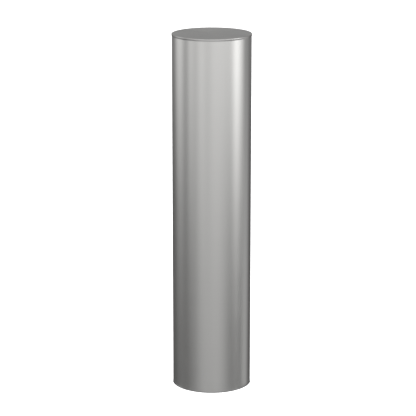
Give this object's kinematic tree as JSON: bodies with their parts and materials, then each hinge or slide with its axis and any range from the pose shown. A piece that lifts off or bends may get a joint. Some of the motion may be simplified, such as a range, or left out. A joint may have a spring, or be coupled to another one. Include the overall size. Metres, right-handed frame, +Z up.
{
  "type": "retractable bollard",
  "caption": "Round brushed steel bollard with a flat cap that a motor-driven lead screw lowers into a casing set in the ground, until the cap is flush with the paving.",
  "frame": {"origin": "on the bollard's axis at the level of the finished paving; everything below zero is in the ground", "axes": "+Z up along the bollard's axis, +X towards the conduit socket, -X towards the drain socket"},
  "size_m": [0.4371, 0.41, 2.5846],
  "materials": {
    "stainless": "brushed round the tube",
    "steel": "machined and oiled",
    "ground_steel": "ground, bright",
    "galvanised": "hot-dip galvanised",
    "zinc_screw": "bright zinc plated",
    "bronze": "machined bronze",
    "rubber": "matt",
    "polymer": "matt, moulded",
    "grey_plastic": "matt, moulded",
    "orange_rubber": "cast polyurethane",
    "dark_paint": "satin paint",
    "blue_paint": "satin paint"
  },
  "bodies": {
    "ground_unit": {"frame_flange": "galvanised", "wiper_seal": "rubber", "upper_guide_ring": "polymer", "frame_screw_1": "zinc_screw", "frame_screw_2": "zinc_screw", "frame_screw_3": "zinc_screw", "frame_screw_4": "zinc_screw", "frame_screw_5": "zinc_screw", "frame_screw_6": "zinc_screw", "foundation_casing": "galvanised", "casing_base": "galvanised", "conduit_socket": "grey_plastic", "drain_socket": "grey_plastic", "anchor_lug_1": "galvanised", "anchor_lug_2": "galvanised", "anchor_lug_3": "galvanised", "guide_column_1": "ground_steel", "guide_column_2": "ground_steel", "guide_column_3": "ground_steel", "top_buffer_1": "rubber", "top_buffer_2": "rubber", "top_buffer_3": "rubber", "bottom_buffer_1": "rubber", "bottom_buffer_2": "rubber", "bottom_buffer_3": "rubber", "lower_plate": "steel", "column_nut_1": "zinc_screw", "column_nut_2": "zinc_screw", "column_nut_3": "zinc_screw", "bearing_housing": "steel", "bearing_outer_ring": "ground_steel", "motor_lantern": "dark_paint", "gearbox": "blue_paint", "motor": "blue_paint", "motor_gland": "polymer", "junction_box": "grey_plastic", "junction_lid": "grey_plastic", "sensor_rail": "zinc_screw", "upper_sensor": "polymer", "lower_sensor": "polymer"},
    "bollard": {"bollard_tube": "stainless", "cap": "stainless", "foot_ring": "steel", "slider_flange": "steel", "guide_bush_1": "bronze", "guide_bush_2": "bronze", "guide_bush_3": "bronze", "screw_nut": "bronze", "foot_screw_1": "zinc_screw", "foot_screw_2": "zinc_screw", "foot_screw_3": "zinc_screw", "sensor_flag": "zinc_screw"},
    "screw": {"lead_screw": "ground_steel", "screw_end_collar": "steel", "bearing_inner_ring": "ground_steel", "coupling_hub_upper": "steel", "coupling_spider": "orange_rubber", "coupling_hub_lower": "steel", "gearbox_shaft": "ground_steel"}
  },
  "joints": [
    {"name": "bollard_lift", "type": "slide", "parent": "ground_unit", "child": "bollard", "axis": [0, 0, 1], "range_m": [-1, 0]},
    {"name": "screw_turn", "type": "hinge", "parent": "ground_unit", "child": "screw", "pos_m": [0, 0, -1.266], "axis": [0, 0, 1], "range_deg": [0, 36000]}
  ],
  "couplings": [
    {"joint": "screw_turn", "follows": "bollard_lift", "rad_per_m": -628.32}
  ]
}
